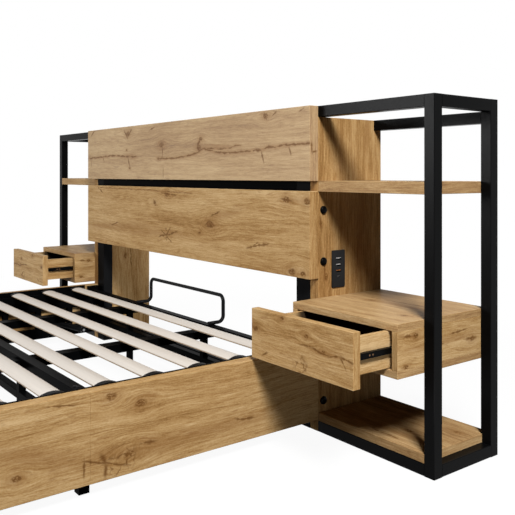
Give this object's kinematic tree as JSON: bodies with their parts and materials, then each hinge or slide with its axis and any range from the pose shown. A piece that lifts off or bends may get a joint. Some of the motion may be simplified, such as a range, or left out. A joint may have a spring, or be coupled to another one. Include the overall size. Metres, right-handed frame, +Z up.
{
  "type": "storage bed",
  "caption": "Lift-up storage bed with a panelled headboard set between open-frame nightstands with drawers, and a slatted platform raised on gas struts.",
  "frame": {"origin": "centre of the bed's footprint on the floor, headboard and nightstands included", "axes": "+Y towards the head of the bed, +X to the right seen from the foot, +Z up"},
  "size_m": [2.242, 2.301, 0.9],
  "materials": {
    "oak": "matt oak-look laminate with knots, cracks and straight grain",
    "drawer_board": "matt oak-look laminate board",
    "black_steel": "fine-textured black powder coat",
    "zinc_steel": "bright zinc",
    "runner_steel": "black oxide sheet steel",
    "bolt_black": "semi-gloss black",
    "slat_wood": "pale bent plywood with a smooth sealed face",
    "cap_plastic": "moulded, satin",
    "charger_plastic": "gloss black",
    "socket_plastic": "moulded, satin",
    "pad_rubber": "matt rubber",
    "cylinder_paint": "satin black",
    "polished_rod": "polished hard chrome"
  },
  "bodies": {
    "frame": {"base_cross_bars": "black_steel", "base_ladder_left": "black_steel", "base_ladder_right": "black_steel", "base_legs": "black_steel", "case_back_left": "drawer_board", "case_back_right": "drawer_board", "case_panels_left": "oak", "case_panels_right": "oak", "case_runners_left": "runner_steel", "case_runners_right": "runner_steel", "case_sides_left": "oak", "case_sides_right": "oak", "centre_supports": "black_steel", "charger_housing": "charger_plastic", "charger_socket_tongues": "socket_plastic", "footboard": "oak", "head_panel_lower": "oak", "head_panel_upper": "oak", "head_post_left": "black_steel", "head_post_right": "black_steel", "head_tie_rails": "black_steel", "hinge_brackets": "black_steel", "hinge_pins": "zinc_steel", "lower_shelf_left": "oak", "lower_shelf_right": "oak", "panel_bolts": "bolt_black", "platform_ledges": "black_steel", "rest_pads": "pad_rubber", "side_panel_left": "oak", "side_panel_right": "oak", "side_rail_left": "oak", "side_rail_right": "oak", "stand_posts_left": "black_steel", "stand_posts_right": "black_steel", "stand_rails_left": "black_steel", "stand_rails_right": "black_steel", "strut_pivot_studs": "zinc_steel", "upper_shelf_left": "oak", "upper_shelf_right": "oak"},
    "platform": {"mattress_retainer": "black_steel", "platform_beams": "black_steel", "platform_cross_tubes": "black_steel", "platform_side_tubes": "black_steel", "slat_caps": "cap_plastic", "slats": "slat_wood", "strut_bearing_plates": "black_steel"},
    "right_drawer": {"drawer_floor_right": "drawer_board", "drawer_front_right": "oak", "drawer_runners_right": "runner_steel", "drawer_walls_right": "drawer_board"},
    "left_drawer": {"drawer_floor_left": "drawer_board", "drawer_front_left": "oak", "drawer_runners_left": "runner_steel", "drawer_walls_left": "drawer_board"},
    "right_strut_cylinder": {"strut_cylinder_right": "cylinder_paint"},
    "left_strut_cylinder": {"strut_cylinder_left": "cylinder_paint"},
    "right_strut_rod": {"strut_rod_right": "polished_rod"},
    "left_strut_rod": {"strut_rod_left": "polished_rod"}
  },
  "joints": [
    {"name": "platform_lift", "type": "hinge", "parent": "frame", "child": "platform", "pos_m": [0, 0.866, 0.2055], "axis": [-1, 0, 0], "range_deg": [0, 40]},
    {"name": "right_drawer_slide", "type": "slide", "parent": "frame", "child": "right_drawer", "axis": [0, -1, 0], "range_m": [-0.116, 0.074]},
    {"name": "left_drawer_slide", "type": "slide", "parent": "frame", "child": "left_drawer", "axis": [0, -1, 0], "range_m": [-0.116, 0.074]},
    {"name": "right_strut_swing", "type": "hinge", "parent": "frame", "child": "right_strut_cylinder", "pos_m": [0.6395, 0.8085, 0.056], "axis": [-1, 0, 0], "range_deg": [0, 35.73]},
    {"name": "right_strut_extension", "type": "slide", "parent": "right_strut_cylinder", "child": "right_strut_rod", "axis": [0, -0.9336, 0.3583], "range_m": [0, 0.10444]},
    {"name": "left_strut_swing", "type": "hinge", "parent": "frame", "child": "left_strut_cylinder", "pos_m": [-0.6395, 0.8085, 0.056], "axis": [-1, 0, 0], "range_deg": [0, 35.73]},
    {"name": "left_strut_extension", "type": "slide", "parent": "left_strut_cylinder", "child": "left_strut_rod", "axis": [0, -0.9336, 0.3583], "range_m": [0, 0.10444]}
  ],
  "couplings": [
    {"joint": "right_strut_swing", "follows": "platform_lift", "ratio": 0.89291},
    {"joint": "right_strut_extension", "follows": "platform_lift", "m_per_rad": 0.14952},
    {"joint": "left_strut_swing", "follows": "platform_lift", "ratio": 0.89291},
    {"joint": "left_strut_extension", "follows": "platform_lift", "m_per_rad": 0.14952}
  ]
}
